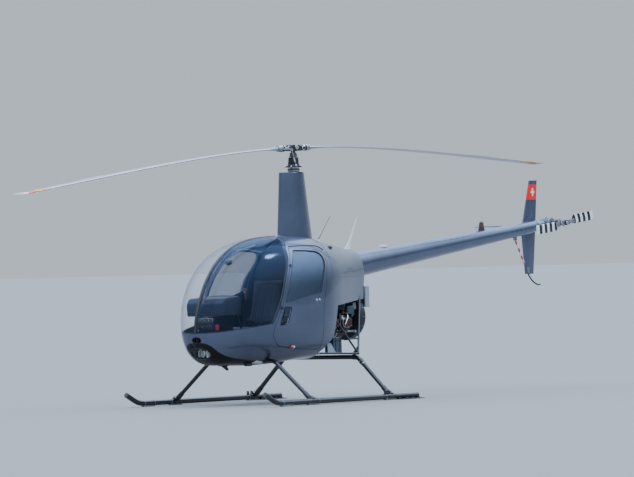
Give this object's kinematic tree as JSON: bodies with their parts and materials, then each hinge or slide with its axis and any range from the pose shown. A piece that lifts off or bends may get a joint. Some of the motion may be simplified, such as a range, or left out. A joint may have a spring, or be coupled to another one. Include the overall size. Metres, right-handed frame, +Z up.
{
  "type": "light two-seat helicopter on skids",
  "caption": "Light piston helicopter on skids: hollow glazed cab with hinged doors, open engine bay, turning main rotor and tail rotor.",
  "frame": {"origin": "centre of the bounding box at ground level", "axes": "+X towards the nose, +Y to the left side, +Z up"},
  "size_m": [8.7482, 2.064, 2.7],
  "materials": {
    "paint": "satin metallic grey",
    "underside": "satin grey with a black belly",
    "glazing": "clear tinted",
    "black_tube": "gloss black",
    "bow_black": "matte black",
    "rotor_steel": "satin steel",
    "bare_alloy": "bare sheet",
    "blade_skin": "painted silver with red, yellow and white tips",
    "white_aerial": "white",
    "trim": "dark trim",
    "seat_cloth": "dark blue cloth",
    "engine_alloy": "cast and dull",
    "belt_black": "matte black",
    "exhaust_rust": "heat-browned",
    "tail_black": "black with white bands",
    "lamp_metal": "bright reflector",
    "beacon_red": "dark red lens",
    "rod_red": "red and white bands"
  },
  "bodies": {
    "airframe": {"nose_and_belly": "underside", "cabin_frame": "paint", "windshield_left": "glazing", "windshield_right": "glazing", "windshield_bow": "bow_black", "lamp_window": "glazing", "landing_lamps": "lamp_metal", "side_cowl_left": "paint", "side_cowl_right": "paint", "upper_cowl": "paint", "cabin_floor": "trim", "firewall": "bare_alloy", "aft_bulkhead": "bare_alloy", "mast_fairing": "paint", "main_gearbox": "bare_alloy", "tail_cone": "paint", "tail_fins": "paint", "stabiliser": "paint", "tail_skid": "black_tube", "tail_gearbox": "bare_alloy", "guard_rod": "rod_red", "front_cross_tube": "black_tube", "rear_cross_tube": "black_tube", "front_leg_left": "black_tube", "front_leg_right": "black_tube", "rear_leg_left": "black_tube", "rear_leg_right": "black_tube", "skid_left": "black_tube", "skid_right": "black_tube", "seat_box": "trim", "seat_cushion_left": "seat_cloth", "seat_cushion_right": "seat_cloth", "seat_back_left": "seat_cloth", "seat_back_right": "seat_cloth", "instrument_console": "trim", "cyclic_stick": "black_tube", "pedals_left": "black_tube", "pedals_right": "black_tube", "engine_frame": "black_tube", "engine_block": "engine_alloy", "belt_drive": "belt_black", "fan_scroll": "bow_black", "exhaust": "exhaust_rust", "rear_panel": "bare_alloy", "beacon": "beacon_red", "whip_aerial": "black_tube", "white_aerial": "white_aerial"},
    "main_rotor": {"rotor_mast_and_hub": "rotor_steel", "main_blade_front": "blade_skin", "main_blade_rear": "blade_skin"},
    "tail_rotor": {"tail_rotor_hub": "tail_black", "tail_blade_front": "tail_black", "tail_blade_rear": "tail_black"},
    "left_door": {"door_left": "paint", "door_window_left": "glazing"},
    "right_door": {"door_right": "paint", "door_window_right": "glazing"}
  },
  "joints": [
    {"name": "main_rotor_spin", "type": "hinge", "parent": "airframe", "child": "main_rotor", "pos_m": [0.54952, 0, 2.656], "axis": [0, 0, 1], "continuous": true},
    {"name": "tail_rotor_spin", "type": "hinge", "parent": "airframe", "child": "tail_rotor", "pos_m": [-3.84048, 0.27, 1.82], "axis": [0, 1, 0], "continuous": true},
    {"name": "left_door_hinge", "type": "hinge", "parent": "airframe", "child": "left_door", "pos_m": [1.22052, 0.494, 1.452], "axis": [0.4386, 0.1243, -0.89], "range_deg": [0, 75]},
    {"name": "right_door_hinge", "type": "hinge", "parent": "airframe", "child": "right_door", "pos_m": [1.22052, -0.494, 1.452], "axis": [-0.4386, 0.1243, 0.89], "range_deg": [0, 75]}
  ],
  "couplings": [
    {"joint": "tail_rotor_spin", "follows": "main_rotor_spin", "ratio": 6.66}
  ]
}
